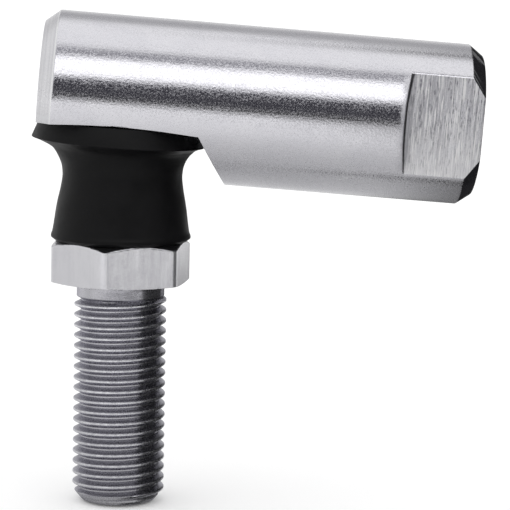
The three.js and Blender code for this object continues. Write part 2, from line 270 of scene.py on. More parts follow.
def add_piece(name, me, place=None, sharp_deg=38.0, materials=()):
    """Keeps the mesh's own coordinates as the attribute "loc" (millimetres) for the materials, moves it into the
    row frame in metres, and shades it smooth between sharp edges."""
    co = np.zeros(len(me.vertices) * 3)
    me.vertices.foreach_get("co", co)
    co = co.reshape(-1, 3)
    loc = me.attributes.new("loc", "FLOAT_VECTOR", "POINT")
    loc.data.foreach_set("vector", co.astype(np.float32).ravel())
    out = (place(co) if place else co) + CENTRE
    me.vertices.foreach_set("co", (out / 1000.0).astype(np.float32).ravel())
    if materials:
        slots = np.zeros(len(me.polygons), np.int32)
        me.polygons.foreach_get("material_index", slots)
        me.materials.clear()
        for material in materials:
            me.materials.append(material)
        me.polygons.foreach_set("material_index", slots)
    me.polygons.foreach_set("use_smooth", [True] * len(me.polygons))
    me.update()
    me.set_sharp_from_angle(angle=math.radians(sharp_deg))
    me.name = name
    return to_object(name, me)


def register(ob, body, replaced):
    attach(ob, body)
    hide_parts(replaced)


# ------------------------------------------------------------------ shader node helpers
class Graph:
    """Shorthand for building a node tree. Values may be sockets or numbers."""
    math_inputs = 2  # math inputs that are always written, with 0 where no value is given

    def __init__(self, tree):
        self.tree = tree

    def node(self, kind, **values):
        node = self.tree.nodes.new(kind)
        for key, value in values.items():
            setattr(node, key, value)
        return node

    def link(self, source, target):
        self.tree.links.new(source, target)

    def put(self, socket, value):
        if isinstance(value, bpy.types.NodeSocket):
            self.link(value, socket)
        else:
            socket.default_value = value

    def math(self, operation, *values, clamp=False):
        node = self.node("ShaderNodeMath", operation=operation, use_clamp=clamp)
        padded = values + (0.0,) * (self.math_inputs - len(values))
        for i, value in enumerate(padded):
            self.put(node.inputs[i], value)
        return node.outputs[0]

    def add(self, a, b):
        return self.math("ADD", a, b)

    def sub(self, a, b):
        return self.math("SUBTRACT", a, b)

    def mul(self, a, b):
        return self.math("MULTIPLY", a, b)

    def remap(self, value, span, to=(0.0, 1.0), interpolation="LINEAR"):
        """Carries the range span onto the range to, held at both ends."""
        node = self.node("ShaderNodeMapRange", interpolation_type=interpolation)
        names = ("Value", "From Min", "From Max", "To Min", "To Max")
        for name, entry in zip(names, (value, *span, *to)):
            self.put(node.inputs[name], entry)
        return node.outputs[0]

    def step(self, value, span, to=(0.0, 1.0)):
        return self.remap(value, span, to, "SMOOTHSTEP")

    def mix(self, factor, under, over):
        node = self.node("ShaderNodeMix", data_type="RGBA")
        self.put(node.inputs["Factor"], factor)
        for i, colour in ((6, under), (7, over)):
            self.put(node.inputs[i], colour if isinstance(colour, bpy.types.NodeSocket) else (*colour, 1))
        return node.outputs[2]

    def separate(self, vector):
        node = self.node("ShaderNodeSeparateXYZ")
        self.link(vector, node.inputs[0])
        return node.outputs

    def combine(self, x, y, z):
        node = self.node("ShaderNodeCombineXYZ")
        for i, value in enumerate((x, y, z)):
            self.put(node.inputs[i], value)
        return node.outputs[0]

    def grey_ramp(self, value, stops):
        """Brightness from (position, value) stops; the dark parts of the room are a little blue."""
        node = self.node("ShaderNodeValToRGB")
        elements = node.color_ramp.elements
        while len(elements) < len(stops):
            elements.new(0.5)
        for element, (place, grey) in zip(elements, stops):
            cool = max(0.0, min(1.0, 1.0 - grey / 0.5))
            element.position = place
            element.color = (grey, grey * (1 - 0.02 * cool), grey * (1 + 0.20 * cool), 1)
        self.link(value, node.inputs[0])
        return node.outputs[0]

    def card(self, x, y, longer=0.0):
        """1 in the open, near 0 in the directions of the dark card on the right."""
        azimuth = self.mul(self.math("ARCTAN2", x, self.mul(y, -1.0)), 180.0 / math.pi)
        near = self.step(azimuth, span=CARD[:2])
        far = self.step(azimuth, span=(CARD[2] + longer, CARD[3] + longer), to=(1.0, 0.0))
        return self.sub(1.0, self.mul(self.mul(near, far), CARD_DEPTH))


class Material(Graph):
    math_inputs = 3

    def __init__(self, name):
        self.material = bpy.data.materials.new(name)
        self.material.use_nodes = True
        super().__init__(self.material.node_tree)
        self.tree.nodes.clear()
        out = self.node("ShaderNodeOutputMaterial")
        self.bsdf = self.node("ShaderNodeBsdfPrincipled")
        self.link(self.bsdf.outputs[0], out.inputs[0])

    def shade(self, name, value):
        self.put(self.bsdf.inputs[name], value)

    def loc(self):
        return self.node("ShaderNodeAttribute", attribute_name="loc").outputs["Vector"]

    def geometry(self, output):
        return self.node("ShaderNodeNewGeometry").outputs[output]

    def light_path(self, output):
        return self.node("ShaderNodeLightPath").outputs[output]

    def scaled(self, vector, scale, offset=(0, 0, 0)):
        node = self.node("ShaderNodeMapping")
        self.link(vector, node.inputs["Vector"])
        node.inputs["Scale"].default_value = scale
        node.inputs["Location"].default_value = offset
        return node.outputs[0]

    def noise(self, vector, scale, detail=2.0, rough=0.5, distortion=0.0):
        node = self.node("ShaderNodeTexNoise")
        self.link(vector, node.inputs["Vector"])
        node.inputs["Scale"].default_value = scale
        node.inputs["Detail"].default_value = detail
        node.inputs["Roughness"].default_value = rough
        node.inputs["Distortion"].default_value = distortion
        return node.outputs["Fac"]

    def bump(self, height, depth_mm, strength=1.0, normal=None):
        node = self.node("ShaderNodeBump")
        node.inputs["Strength"].default_value = strength
        node.inputs["Distance"].default_value = depth_mm / 1000.0
        self.link(height, node.inputs["Height"])
        if normal is not None:
            self.link(normal, node.inputs["Normal"])
        return node.outputs[0]

    def radius(self, a, b):
        return self.math("SQRT", self.add(self.mul(a, a), self.mul(b, b)))

    def wall_bow(self, z):
        """How far the wrench flat's inner end bows towards the ball at height z."""
        share = self.math("DIVIDE", z, FLAT_HALF_HEIGHT)
        return self.mul(self.sub(1.0, self.mul(share, share)), WALL_BOW)


# ------------------------------------------------------------------ marks at known places
def flat_marks(mat, loc, colour):
    """The milled flat: a painted shade line in the corner along its bowed inner end, a soft painted shade beside it,
    painted light towards its lower edge, streaks and a few deeper scratches.
    """
    x, _, z = mat.separate(loc)
    wobble = mat.noise(mat.scaled(loc, scale=(0.2, 0.2, 0.8)), scale=1.0)
    wobble = mat.mul(mat.sub(wobble, 0.5), 0.10)
    inner_end = mat.add(mat.add(x, wobble), mat.wall_bow(z))
    inner_end = mat.sub(inner_end, mat.remap(z, span=(2.5, 5.7), to=(0.0, 0.22)))
    fleck = mat.noise(mat.scaled(loc, scale=(5.4, 1.0, 1.0)), scale=1.0, rough=0.6)
    colour = mat.mix(mat.remap(fleck, span=(0.55, 0.64), to=(0.0, 0.85)), colour, over=(0.25, 0.245, 0.28))
    streaks = mat.scaled(loc, scale=(6.2, 1.0, 0.26), offset=(3.1, 0.4, 9.2))
    scratch = mat.noise(streaks, scale=1.0, detail=3.0, rough=0.7)
    bright = (1.0, 0.995, 1.0)
    colour = mat.mix(mat.remap(scratch, span=(0.52, 0.60), to=(0.0, 0.95)), colour, bright)
    # Painted light: the flat is made paler towards its lower edge.
    colour = mat.mix(mat.remap(z, span=(1.0, -5.5), to=(0.0, 0.5)), colour, bright)
    # Painted shade: a soft grey zone beside the wall, stronger low down than near the top.
    shade = mat.mul(mat.remap(inner_end, span=(WRENCH_S + 0.25, WRENCH_S + 1.0), to=(0.75, 0.0)),
                    mat.remap(z, span=(-5.4, -4.0)))
    shade = mat.mul(shade, mat.remap(z, span=(3.0, -2.5), to=(0.45, 1.0)))
    colour = mat.mix(shade, colour, over=(0.42, 0.415, 0.45))
    # Painted shade: a thin near-black line in the corner along the wall at the flat's inner end.
    painted_corner_shade = mat.remap(inner_end, span=(WRENCH_S + 0.07, WRENCH_S + 0.15), to=(0.92, 0.0))
    return mat.mix(painted_corner_shade, colour, over=(0.03, 0.03, 0.034))


def chamfer_marks(mat, loc, colour):
    """A painted highlight: a bright line where the chamfer meets the bar."""
    x = mat.separate(loc)[0]
    return mat.mix(mat.remap(x, span=(-8.27, -8.17), to=(0.0, 0.9)), colour, over=(0.97, 0.97, 0.985))


def thread_marks(mat, loc, colour):
    """Rolled thread, with painted light and shade: flanks painted darker where they face up and paler where they
    face down, a painted highlight along each crest, painted lighter at both sides and on the left of the plain
    blank, and a cut chamfer at the tip."""
    x, y, z = mat.separate(loc)
    radius = mat.radius(x, y)
    facing = mat.separate(mat.geometry("True Normal"))[2]
    threaded = mat.remap(z, span=(-23.95, -24.25))
    # Painted light and shade: flanks facing up are painted darker, flanks facing down paler.
    upper = mat.mul(mat.remap(facing, span=(0.18, 0.60), to=(0.0, 0.96)), threaded)
    lower = mat.mul(mat.remap(facing, span=(-0.18, -0.60), to=(0.0, 0.88)), threaded)
    colour = mat.mix(threaded, colour, over=(0.55, 0.545, 0.58))
    colour = mat.mix(upper, colour, over=(0.325, 0.32, 0.355))
    colour = mat.mix(lower, colour, over=(0.70, 0.695, 0.74))
    # Painted highlight: a bright line along each crest, broken up by noise.
    highlight_break = mat.noise(mat.scaled(loc, scale=(1.0, 1.0, 0.6)), scale=1.6, detail=3.0, rough=0.6)
    crest = mat.mul(mat.remap(radius, span=(THREAD_R - 0.10, THREAD_R - 0.02)),
                    mat.remap(highlight_break, span=(0.42, 0.6), to=(0.45, 1.0)))
    colour = mat.mix(mat.mul(crest, threaded), colour, over=(0.84, 0.84, 0.87))
    x = mat.separate(loc)[0]
    # Painted light: paler towards both sides of the stud.
    sides = mat.math("MAXIMUM", mat.remap(x, span=(4.3, 5.3), to=(0.0, 0.6)),
                     mat.remap(x, span=(-3.6, -5.2), to=(0.0, 0.5)))
    colour = mat.mix(mat.mul(sides, threaded), colour, over=(0.88, 0.88, 0.91))
    # Painted light: paler on the left of the plain blank above the thread.
    neck = mat.mul(mat.remap(x, span=(-1.0, -4.2), to=(0.0, 0.8)), mat.sub(1.0, threaded))
    colour = mat.mix(neck, colour, over=(0.66, 0.655, 0.69))
    tip = mat.remap(z, span=(-47.35, -47.75), to=(0.0, 0.85))
    return mat.mix(tip, colour, over=(0.74, 0.735, 0.77))


def hex_marks(mat, loc, colour):
    """Under the boot the hexagon's top and its turned chamfer see nothing but rubber; where they face up they are
    painted near black, a painted reflection of the black rubber and painted shade under the boot.
    """
    facing = mat.separate(mat.geometry("True Normal"))[2]
    x = mat.separate(loc)[0]
    # Painted reflection and shade: darkened where the faces point up under the boot.
    painted_dark_under_boot = mat.mul(mat.remap(facing, span=(0.25, 0.62), to=(0.0, 0.95)),
                   mat.remap(x, span=(-7.5, -6.5), to=(0.1, 1.0)))
    return mat.mix(painted_dark_under_boot, colour, over=(0.05, 0.05, 0.055))


def edge_scuff(mat, loc, mid):
    """Added roughness on the bar, along the edge that the milling cutter left beside each wrench flat."""
    x, _, z = mat.separate(loc)
    ragged = mat.mul(mat.sub(mid, 0.5), 0.9)
    place = mat.add(mat.add(x, mat.wall_bow(z)), ragged)
    near = mat.remap(place, span=(WRENCH_S - 0.95, WRENCH_S - 0.35), to=(0.0, 0.42))
    return mat.mul(near, mat.remap(mat.math("ABSOLUTE", z), span=(5.7, 5.0)))


# ------------------------------------------------------------------ materials
LINE_SCALES = {  # noise scale along x, y, z; lines run along the smallest, or round when two are small
    "axial": (0.035, 3.2, 3.2),
    "vertical": (3.5, 0.5, 0.085),
    "upright": (1.6, 1.6, 0.10),
    "stud": (0.5, 0.5, 2.6),
}


def tool_lines(mat, loc, kind):
    """Noise drawn out into tool marks: a kind in LINE_SCALES, or "concentric" or "around" about the bar's axis."""
    if kind in LINE_SCALES:
        vector = mat.scaled(loc, LINE_SCALES[kind])
    else:
        x, y, z = mat.separate(loc)
        angle, radius = mat.math("ARCTAN2", y, z), mat.radius(y, z)
        if kind == "concentric":
            vector = mat.combine(mat.mul(radius, 6.5), mat.mul(angle, 0.5), 0.0)
        else:
            vector = mat.combine(mat.mul(x, 3.6), mat.mul(angle, 0.8), mat.mul(radius, 2.0))
    return mat.noise(vector, scale=1.0, detail=4.0, rough=0.7)


def plated(name, base=(0.735, 0.729, 0.765), dark=(0.40, 0.40, 0.43), tint=(0.67, 0.665, 0.71),
           rough=0.14, rough_spread=0.07, grain=0.010, grain_scale=4.5, lines=None, line_depth=0.0,
           line_mix=0.0, cloud=0.5, speck_mix=0.10, mask=None, grazing=None, metallic=1.0, scuffed=False):
    """Zinc-plated steel: a crystalline skin over whatever marks the tool left. Neighbouring crystals differ in
    gloss, so a reflected edge breaks up into grains. lines is None or a kind for tool_lines(); mask(mat, loc,
    colour) may add marks at known places; grazing is the edge tint, as a grey or "own" for the colour itself.
    grain and line_depth are bump depths in millimetres."""
    mat = Material(name)
    loc = mat.loc()
    fine = mat.noise(loc, grain_scale, rough=0.55)
    shifted = mat.scaled(loc, scale=(1, 1, 1), offset=(7.3, 1.9, 4.4))
    speck = mat.noise(shifted, grain_scale * 1.35, detail=1.0)
    broad = mat.noise(loc, scale=0.22, detail=4.0, rough=0.6, distortion=0.6)
    mid = mat.noise(loc, scale=0.9, detail=3.0, rough=0.55, distortion=0.3)
    normal = mat.bump(fine, grain)
    normal = mat.bump(mid, depth_mm=0.012, strength=0.55, normal=normal)
    line = None
    if lines:
        line = tool_lines(mat, loc, lines)
        normal = mat.bump(line, line_depth, normal=normal)
    colour = mat.mix(mat.remap(broad, span=(0.36, 0.66), to=(0.0, cloud)), base, tint)
    colour = mat.mix(mat.remap(speck, span=(0.30, 0.70), to=(0.0, speck_mix)), colour, dark)
    if line_mix:
        colour = mat.mix(mat.remap(line, span=(0.36, 0.66), to=(0.0, line_mix)), colour, dark)
    worn = mat.remap(mat.geometry("Pointiness"), span=(0.53, 0.60), to=(0.0, 0.55))
    colour = mat.mix(worn, colour, over=(0.88, 0.885, 0.91))
    if mask:
        colour = mask(mat, loc, colour)
    mat.shade("Base Color", colour)
    mat.shade("Metallic", metallic)
    if grazing == "own":
        mat.shade("Specular Tint", colour)
    elif grazing is not None:
        mat.shade("Specular Tint", (grazing, grazing, grazing, 1))
    gloss = mat.remap(broad, span=(0.3, 0.7), to=(rough * 0.9, rough * 1.15))
    gloss = mat.add(gloss, mat.remap(speck, span=(0.32, 0.68), to=(-rough_spread, rough_spread * 2.0)))
    if line is not None:
        gloss = mat.add(gloss, mat.remap(line, span=(0.3, 0.7), to=(-0.03, 0.05)))
    if scuffed:
        gloss = mat.add(gloss, edge_scuff(mat, loc, mid))
    mat.shade("Roughness", mat.math("MAXIMUM", gloss, 0.04))
    mat.shade("Normal", normal)
    return mat.material


def rubber(name):
    mat = Material(name)
    loc = mat.loc()
    fine = mat.noise(loc, scale=5.0, detail=3.0, rough=0.6)
    broad = mat.noise(loc, scale=0.35, detail=3.0, rough=0.55)
    flow = mat.noise(mat.scaled(loc, scale=(0.6, 0.6, 2.4)), scale=1.2, detail=3.0, rough=0.6)
    normal = mat.bump(fine, depth_mm=0.012)
    normal = mat.bump(flow, depth_mm=0.02, strength=0.6, normal=normal)
    colour = mat.mix(mat.remap(broad, span=(0.35, 0.7)),
                     under=(0.0022, 0.0022, 0.0026), over=(0.0040, 0.0039, 0.0045))
    colour = mat.mix(mat.remap(fine, span=(0.62, 0.8), to=(0.0, 0.5)), colour, over=(0.012, 0.012, 0.013))
    mat.shade("Base Color", colour)
    uneven = mat.add(broad, mat.mul(fine, 0.3))
    mat.shade("Roughness", mat.remap(uneven, span=(0.45, 0.95), to=(0.42, 0.60)))
    mat.shade("Specular IOR Level", 0.165)
    mat.shade("Normal", normal)
    return mat.material


BAR_MAT = plated("zinc_drawn_bar", rough=0.138, rough_spread=0.078, grain=0.012, grain_scale=4.1,
                 lines="axial", line_depth=0.004, scuffed=True)
MILLED_MAT = plated("zinc_milled_flat", base=(0.97, 0.965, 0.99), dark=(0.42, 0.415, 0.45),
                    tint=(0.86, 0.855, 0.90), rough=0.46, grain=0.020, lines="vertical", line_depth=0.05,
                    line_mix=0.95, cloud=0.6, speck_mix=0.35, mask=flat_marks, metallic=0.86)
# The wall at the wrench flats' inner end gets a dark grey colour: painted shade for that corner.
STEP_MAT = plated("milled_step", base=(0.20, 0.20, 0.21), dark=(0.10, 0.10, 0.11), tint=(0.16, 0.16, 0.17),
                  rough=0.45, grain=0.01, cloud=0.4, grazing=0.08)
UNDER_MAT = plated("zinc_milled_underside", rough=0.28, grain=0.006, lines="around", line_depth=0.02,
                   line_mix=0.4)
TURNED_MAT = plated("zinc_turned_chamfer", base=(0.91, 0.905, 0.925), dark=(0.5, 0.5, 0.53),
                    tint=(0.80, 0.795, 0.83), rough=0.30, rough_spread=0.03, grain=0.005,
                    lines="concentric", line_depth=0.02, line_mix=0.35, mask=chamfer_marks)
FACE_MAT = plated("zinc_turned_face", rough=0.26, grain=0.006, lines="concentric", line_depth=0.02,
                  line_mix=0.4)
# Near black: the +X end's chamfer and the flats' end bevels are painted dark, a painted reflection of the dark card
# on the right.
DARK_MAT = plated("dark_turned_chamfer", base=(0.056, 0.054, 0.062), dark=(0.025, 0.025, 0.029),
                  tint=(0.075, 0.073, 0.082), rough=0.30, grain=0.006, lines="concentric", line_depth=0.02,
                  line_mix=0.4, grazing=0.10, metallic=0.80)
TAPPED_MAT = plated("tapped_thread", base=(0.46, 0.47, 0.49), dark=(0.2, 0.2, 0.21), rough=0.28, grain=0.006)
BORE_MAT = plated("bored_socket", base=(0.5, 0.51, 0.53), dark=(0.25, 0.25, 0.26), rough=0.28, grain=0.004)
HEX_MAT = plated("zinc_forged_hexagon", base=(0.785, 0.78, 0.81), tint=(0.71, 0.705, 0.74), rough=0.20,
                 rough_spread=0.012, grain=0.003, grain_scale=3.4, lines="upright", line_mix=0.12,
                 cloud=0.8, speck_mix=0.06, metallic=0.88, mask=hex_marks)
THREAD_MAT = plated("zinc_rolled_thread", base=(0.50, 0.495, 0.53), dark=(0.22, 0.22, 0.25),
                    tint=(0.43, 0.425, 0.465), rough=0.22, rough_spread=0.05, grain=0.006, lines="stud",
                    line_depth=0.004, line_mix=0.2, mask=thread_marks, grazing="own")
BALL_MAT = plated("ground_ball", base=(0.66, 0.66, 0.685), rough=0.09, rough_spread=0.02, grain=0.0015,
                  cloud=0.2)
SEAT_MAT = plated("hardened_seat", base=(0.52, 0.52, 0.545), dark=(0.3, 0.3, 0.31), rough=0.22, grain=0.003,
                  lines="stud", line_depth=0.01, line_mix=0.4)
SPRING_MAT = plated("spring_steel", base=(0.38, 0.37, 0.36), dark=(0.2, 0.19, 0.18), tint=(0.42, 0.38, 0.33),
                    rough=0.3, grain=0.004)
RING_MAT = plated("phosphated_ring", base=(0.14, 0.14, 0.145), dark=(0.07, 0.07, 0.072),
                  tint=(0.17, 0.165, 0.16), rough=0.42, grain=0.006)
RUBBER_MAT = rubber("moulded_rubber")


# ------------------------------------------------------------------ screw surfaces
def thread_radius(z, ang, root, crest, crest_z, crest_flat, root_flat, soft):
    """The radius of a right-hand screw at height z and angle ang; a crest lies at height crest_z where ang is
    pi."""
    turn = ((z - crest_z) / PITCH - (ang - math.pi) / (2 * math.pi)) % 1.0
    from_crest = np.minimum(turn, 1 - turn) * PITCH
    slope = (crest - root) / ((PITCH - crest_flat - root_flat) / 2)
    flank = crest - (from_crest - crest_flat / 2) * slope
    capped = soft_min([flank, np.full_like(flank, crest)], soft)
    return -soft_min([-capped, np.full_like(flank, -root)], soft)


def screw_rows(low, high, cols, radius):
    """Rows that follow the helix, clamped at both ends, from the top down, as (rows, cols, 3)."""
    ang = np.arange(cols) * 2 * math.pi / cols
    first = low - 1.6 * PITCH
    count = int(math.ceil((high - low + 2.8 * PITCH) / PITCH * SCREW_ROWS))
    z = first + (np.arange(count)[:, None] / SCREW_ROWS + (ang / (2 * math.pi))[None, :]) * PITCH
    z = np.clip(z, low, high)
    ang = np.broadcast_to(ang, z.shape)
    r = radius(z, ang)
    return np.stack([r * np.cos(ang), r * np.sin(ang), z], -1)[::-1]


def screw_faces(rows, cols, first=0):
    """Faces of screw_rows(). Past the last column the helix has climbed one pitch, which is SCREW_ROWS rows nearer
    the start. The seam's short side walls, where clamping leaves them open, close on merging."""
    faces = []
    for i in range(rows - 1):
        a, b = first + i * cols, first + (i + 1) * cols
        faces += [(a + j, a + j + 1, b + j + 1, b + j) for j in range(cols - 1)]
        if i >= SCREW_ROWS:
            climb = SCREW_ROWS * cols
            faces.append((a + cols - 1, a - climb, b - climb, b + cols - 1))
    return faces


# ------------------------------------------------------------------ ball stud
STUD_COLS = 120
NECK, HEX, BALL, THREAD = range(4)  # the stud's material slots
BALL_TOP, BALL_LOW = 6.05, -5.45  # the flat on top of the ball, and where the neck takes over
NECK_PROFILE = [(3.36, -5.62), (3.3, -6.2), (3.3, -8.2), (3.3, -10.2), (3.6, -11.4), (4.45, -12.7),
                (5.6, -14.05), (6.08, -14.75), (6.15, -15.3)]
COLLAR_R = 6.27
COLLAR_PROFILE = [(6.15, -16.2), (6.15, HEX_HIGH + 0.08), (6.19, HEX_HIGH + 0.02), (COLLAR_R, HEX_HIGH)]
BLANK_PROFILE = [(BLANK_R + 0.12, HEX_LOW), (BLANK_R + 0.03, HEX_LOW - 0.03), (BLANK_R, HEX_LOW - 0.12),
                 (BLANK_R, HEX_LOW - 0.7)]
# degrees from a hexagon corner to the middle of a face, dense at the corner
CORNER_STEPS = [0, 0.45, 1.0, 1.7, 2.6, 3.8, 5.6, 9.0, 14.5, 21.5, 30.0]
HEX_DROPS = np.concatenate([  # row depths below the hexagon's top, then heights above its bottom
    [0.0, 0.012, 0.03], np.arange(0.06, 0.75, 0.032), [0.85, 1.05, 1.6, 2.4, 3.2, 4.0]])
HEX_RISES = np.array([0.4, 0.26, 0.21, 0.18, 0.15, 0.12, 0.09, 0.065, 0.04, 0.02, 0.007, 0.0])
CHAMFER_R, CHAMFER_DROP = 8.545, 0.56  # the hexagon's top chamfer reaches this radius this far down
LOW_CHAMFER_RUN = 0.155  # rise per mm of radius of its light lower chamfer
STUD_CREST_Z, RUNOUT_Z = -26.17, -24.20


def hexagon_rows(uniform):
    """(radius, z, angles, slot) rows: flat top, scalloped chamfer, six faces, flat bottom."""
    half = np.radians(CORNER_STEPS)
    sector = np.concatenate([half, (math.radians(60) - half[1:-1])[::-1]])
    clustered = np.concatenate([HEX_CORNER + k * math.radians(60) + sector for k in range(6)])
    apothem = HEX_AF / 2
    from_middle = (clustered - HEX_CORNER) % math.radians(60) - math.radians(30)
    own = apothem / np.cos(from_middle)
    near = apothem / np.cos(math.radians(60) - np.abs(from_middle))
    flats = soft_min([own, near], 0.23)
    rim, slope = apothem - 0.02, CHAMFER_DROP / (CHAMFER_R - apothem + 0.02)
    rows = [(COLLAR_R + (rim - COLLAR_R) * k, HEX_HIGH, uniform + (clustered - uniform) * k, HEX)
            for k in (0.25, 0.5, 0.75)]
    height = HEX_HIGH - HEX_LOW
    for drop in np.concatenate([HEX_DROPS[HEX_DROPS < height - 0.5], height - HEX_RISES]):
        rise = height - drop
        limit = min(rim + drop / slope, rim + 0.03 + rise / LOW_CHAMFER_RUN)
        r = soft_min([flats, np.full_like(flats, limit)], 0.03)
        if rise < 0.06:  # rounded lower edge
            r = r - 0.05 * (1 - math.sqrt(max(0.0, 1 - (1 - rise / 0.06) ** 2)))
        rows.append((r, HEX_HIGH - drop, clustered, HEX))
    for k in (0.02, 0.3, 0.65, 0.93):
        ang = clustered + (uniform - clustered) * min(1.0, k * 1.1)
        rows.append((r + (BLANK_R + 0.12 - r) * k, HEX_LOW, ang, HEX))
    return rows


def stud_thread_radius(z, ang):
    """Plain blank, rolled thread and chamfered tip."""
    full = thread_radius(z, ang, ROOT_R, THREAD_R, crest_z=STUD_CREST_Z, crest_flat=0.24, root_flat=0.25,
                         soft=0.035)
    plain = ease((z - RUNOUT_Z) / 0.50)  # the roll runs out into the blank
    r = full * (1 - plain) + BLANK_R * plain
    chamfer_top = TIP + 1.4
    limit = TIP_R + np.clip(z - TIP, 0, 20) * (THREAD_R + 0.02 - TIP_R) / (chamfer_top - TIP)
    rounding = np.clip((z - TIP) / 0.10, 0, 1)
    limit = limit - 0.09 * (1 - np.sqrt(1 - (1 - rounding) ** 2))
    return soft_min([r, limit], 0.025)


def make_stud():
    cols = STUD_COLS
    uniform = HEX_CORNER + np.arange(cols) * 2 * math.pi / cols
    start, end = math.asin(BALL_TOP / BALL_R), math.asin(BALL_LOW / BALL_R)
    plan = [(BALL_R * math.cos(start) * k, BALL_TOP, uniform, BALL) for k in (0.25, 0.55, 0.8, 0.95)]
    plan += [(BALL_R * math.cos(t), BALL_R * math.sin(t), uniform, BALL) for t in np.linspace(start, end, 46)]
    plan += [(r, z, uniform, NECK) for r, z in smooth_curve(NECK_PROFILE, 5) + COLLAR_PROFILE]
    plan += hexagon_rows(uniform)
    plan += [(r, z, uniform, THREAD) for r, z in BLANK_PROFILE]
    upper = np.array([np.stack([r * np.cos(ang), r * np.sin(ang), np.full(cols, z)], -1)
                      for r, z, ang, _ in plan])
    tags = [slot for _, _, _, slot in plan]

    # columns are counted from the hexagon's corner, so the screw is made there and turned into place
    body = screw_rows(TIP, HEX_LOW - 1.25, cols,
                      lambda z, ang: stud_thread_radius(z, (ang + HEX_CORNER) % (2 * math.pi)))
    c, s = math.cos(HEX_CORNER), math.sin(HEX_CORNER)
    body = np.stack([body[..., 0] * c - body[..., 1] * s, body[..., 0] * s + body[..., 1] * c,
                     body[..., 2]], -1)
    n_up, n_body = len(upper), len(body)
    top_centre = (n_up + n_body) * cols
    verts = np.concatenate([upper.reshape(-1, 3), body.reshape(-1, 3), [[0, 0, BALL_TOP], [0, 0, TIP]]])

    faces = grid_faces(n_up + 1, cols)  # the last band joins the screw's first row
    slots = [tags[min(i // cols + 1, n_up - 1)] for i in range(len(faces))]
    screw = screw_faces(n_body, cols, first=n_up * cols)
    faces += screw
    slots += [THREAD] * len(screw)
    faces += fan_faces(top_centre, 0, cols, flip=True)
    slots += [BALL] * cols
    previous = last = top_centre - cols
    for scale in (0.97, 0.6):
        base = len(verts)
        ring = verts[last:last + cols].copy()
        ring[:, :2] *= scale
        ring[:, 2] = TIP
        verts = np.concatenate([verts, ring])
        faces += band_faces(previous, base, cols)
        previous = base
    faces += fan_faces(top_centre + 1, previous, cols)
    slots += [HEX] * (3 * cols)
    return mesh_from("ball_stud_fine", verts, faces, slots, merge=2e-4)


stud = add_piece("ball_stud_forged", make_stud(), materials=[HEX_MAT, HEX_MAT, BALL_MAT, THREAD_MAT])
register(stud, "stud", "ball_stud")

# ------------------------------------------------------------------ housing
BAR, MILLED, TURNED, DARK, FACE, UNDERSIDE, STEP = range(7)  # the housing's material slots
BREAK_GAPS = np.array([0.02, 0.05, 0.09, 0.15, 0.25, 0.45, 0.85]) / BAR_R  # column angles beside a break
FLAT_BREAK_S = 31.8  # from here on the lower break runs along the wrench flat's edge
LEAST_BREAK = math.radians(2.0)
BAR_OUTLINE = rounded(  # (along, radius)
    [(SHORT_END, 4.0), (SHORT_END, 8.11), (-8.0, BAR_R), (LONG_END - 1.65, BAR_R), (LONG_END, 8.32),
     (LONG_END, 4.0)], [0, 0.14, 0.30, 0.22, 0.12, 0], steps=6)
# places along the full bar, dense where the shoulder starts and ends
BODY_PLACES = np.concatenate([
    np.linspace(-7.4, SHOULDER_S - 0.3, 14), SHOULDER_S + np.array([-0.12, -0.05, -0.015, 0.02, 0.08, 0.25]),
    np.linspace(SHOULDER_S + 0.5, SHOULDER_END - 0.45, 15),
    SHOULDER_END + np.array([-0.33, -0.22, -0.13, -0.07, -0.03, 0.01, 0.09, 0.25, 0.5]),
    np.linspace(SHOULDER_END + 1.0, 32.6, 30), [32.9, 33.0]])
# the wall at the flats' inner end: (offset along the bar, share of the round bar left)
WALL_STATIONS = [(-0.09, 1.0), (-0.045, 0.99), (-0.018, 0.965), (-0.004, 0.92), (0.0, 0.86), (0.0, 0.12),
                 (0.006, 0.06), (0.02, 0.03), (0.05, 0.01), (0.10, 0.0)]
END_SCALES = ([0.985, 0.9, 0.7, 0.45, 0.2], [0.985, 0.9, 0.78, 0.55, 0.3])  # rings on the -X and +X end faces


def bar_columns(low, high):
    """Angles round the bar from straight down, dense at the two breaks low and high, with the number of columns on
    one half and the columns of the breaks."""
    def span(a, b, count, at_a, at_b):
        gaps = BREAK_GAPS * min(1.0, 0.3 * (b - a) / BREAK_GAPS[-1])
        left = gaps if at_a else np.array([])
        right = gaps if at_b else np.array([])
        first = a + (gaps[-1] if at_a else 0)
        last = b - (gaps[-1] if at_b else 0)
        inner = np.linspace(first, last, count + 2)[1:-1]
        return np.concatenate([a + left, inner, (b - right)[::-1]])

    below = span(0.0, low, 14, False, True)
    side = span(low, high, 22, True, True)
    above = span(high, math.pi, 16, True, False)
    half = np.concatenate([[0.0], below, [low], side, [high], above, [math.pi]])
    other = (2 * math.pi - half[1:-1])[::-1]
    return np.concatenate([half, other]), len(half), 1 + len(below), 2 + len(below) + len(side)


def bar_stations():
    """(along, radius, share): share is 1 on the round bar and 0 where the wrench flats are cut."""
    corners = np.array(BAR_OUTLINE)[1:-1]
    return ([(s, r, 1.0) for s, r in corners[corners[:, 0] < 0]]
            + [(s, BAR_R, 1.0) for s in BODY_PLACES]
            + [(WRENCH_S + offset, BAR_R, share) for offset, share in WALL_STATIONS]
            + [(s, BAR_R, 0.0) for s in np.linspace(33.5, 40.0, 12)]
            + [(s, r, 0.0) for s, r in corners[corners[:, 0] > 30]])


